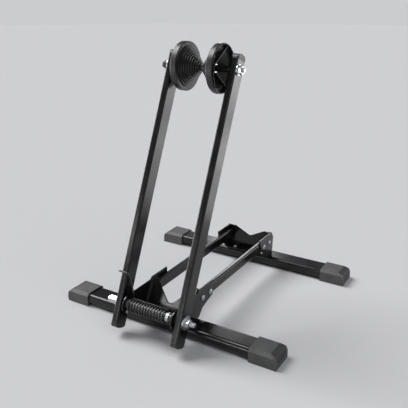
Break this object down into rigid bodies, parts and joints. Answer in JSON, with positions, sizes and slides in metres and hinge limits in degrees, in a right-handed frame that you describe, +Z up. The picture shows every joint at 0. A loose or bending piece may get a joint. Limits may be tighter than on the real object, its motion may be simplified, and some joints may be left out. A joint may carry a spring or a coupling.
{
  "type": "floor bicycle rack",
  "caption": "Low steel floor stand for a bicycle: cross tubes with rubber feet, slim rails, and sprung upright arms whose ribbed cone rollers press on the wheel.",
  "frame": {"origin": "on the floor, at the centre of the outline seen from above", "axes": "+X across the stand to its right as seen from the arms' side, +Y from the arms towards the rear tube, +Z up"},
  "size_m": [0.426, 0.4137, 0.4697],
  "materials": {
    "gloss_black_paint": "gloss black powder coat",
    "black_rubber": "dark moulded rubber",
    "bright_zinc": "bright zinc plate",
    "black_steel": "blackened spring steel and tube",
    "black_plastic": "satin moulded plastic",
    "dark_nylon": "plain nylon"
  },
  "bodies": {
    "base": {"front_tube": "gloss_black_paint", "rear_tube": "gloss_black_paint", "front_left_foot": "black_rubber", "front_right_foot": "black_rubber", "rear_left_foot": "black_rubber", "rear_right_foot": "black_rubber", "front_bracket": "gloss_black_paint", "rear_bracket": "gloss_black_paint", "left_rail": "gloss_black_paint", "right_rail": "gloss_black_paint", "front_rail_screws": "bright_zinc", "rear_rail_screws": "bright_zinc", "front_saddle_screws": "bright_zinc", "rear_saddle_screws": "bright_zinc", "stop_screws": "bright_zinc", "pivot_bolt": "bright_zinc", "pivot_nuts": "bright_zinc", "pivot_washers": "bright_zinc", "spacer_tube": "black_steel", "spring_collars": "bright_zinc"},
    "arms": {"left_arm": "gloss_black_paint", "right_arm": "gloss_black_paint", "top_plugs": "black_plastic", "bottom_plugs": "black_plastic", "arm_bushes": "dark_nylon", "axle_bolt": "bright_zinc", "axle_nuts": "bright_zinc", "axle_washers": "bright_zinc", "axle_spacers": "black_steel", "torsion_spring": "black_steel"},
    "left_roller": {"left_roller": "black_plastic", "left_roller_bush": "bright_zinc"},
    "right_roller": {"right_roller": "black_plastic", "right_roller_bush": "bright_zinc"}
  },
  "joints": [
    {"name": "arm_pivot", "type": "hinge", "parent": "base", "child": "arms", "pos_m": [0, -0.17965, 0.053], "axis": [1, 0, 0], "range_deg": [0, 50], "stiffness_Nm_per_rad": 1, "springref_deg": -34.38, "deforming": ["torsion_spring"]},
    {"name": "left_roller_spin", "type": "hinge", "parent": "arms", "child": "left_roller", "pos_m": [0, -0.01654, 0.42918], "axis": [1, 0, 0], "continuous": true},
    {"name": "right_roller_spin", "type": "hinge", "parent": "arms", "child": "right_roller", "pos_m": [0, -0.01654, 0.42918], "axis": [1, 0, 0], "continuous": true}
  ]
}
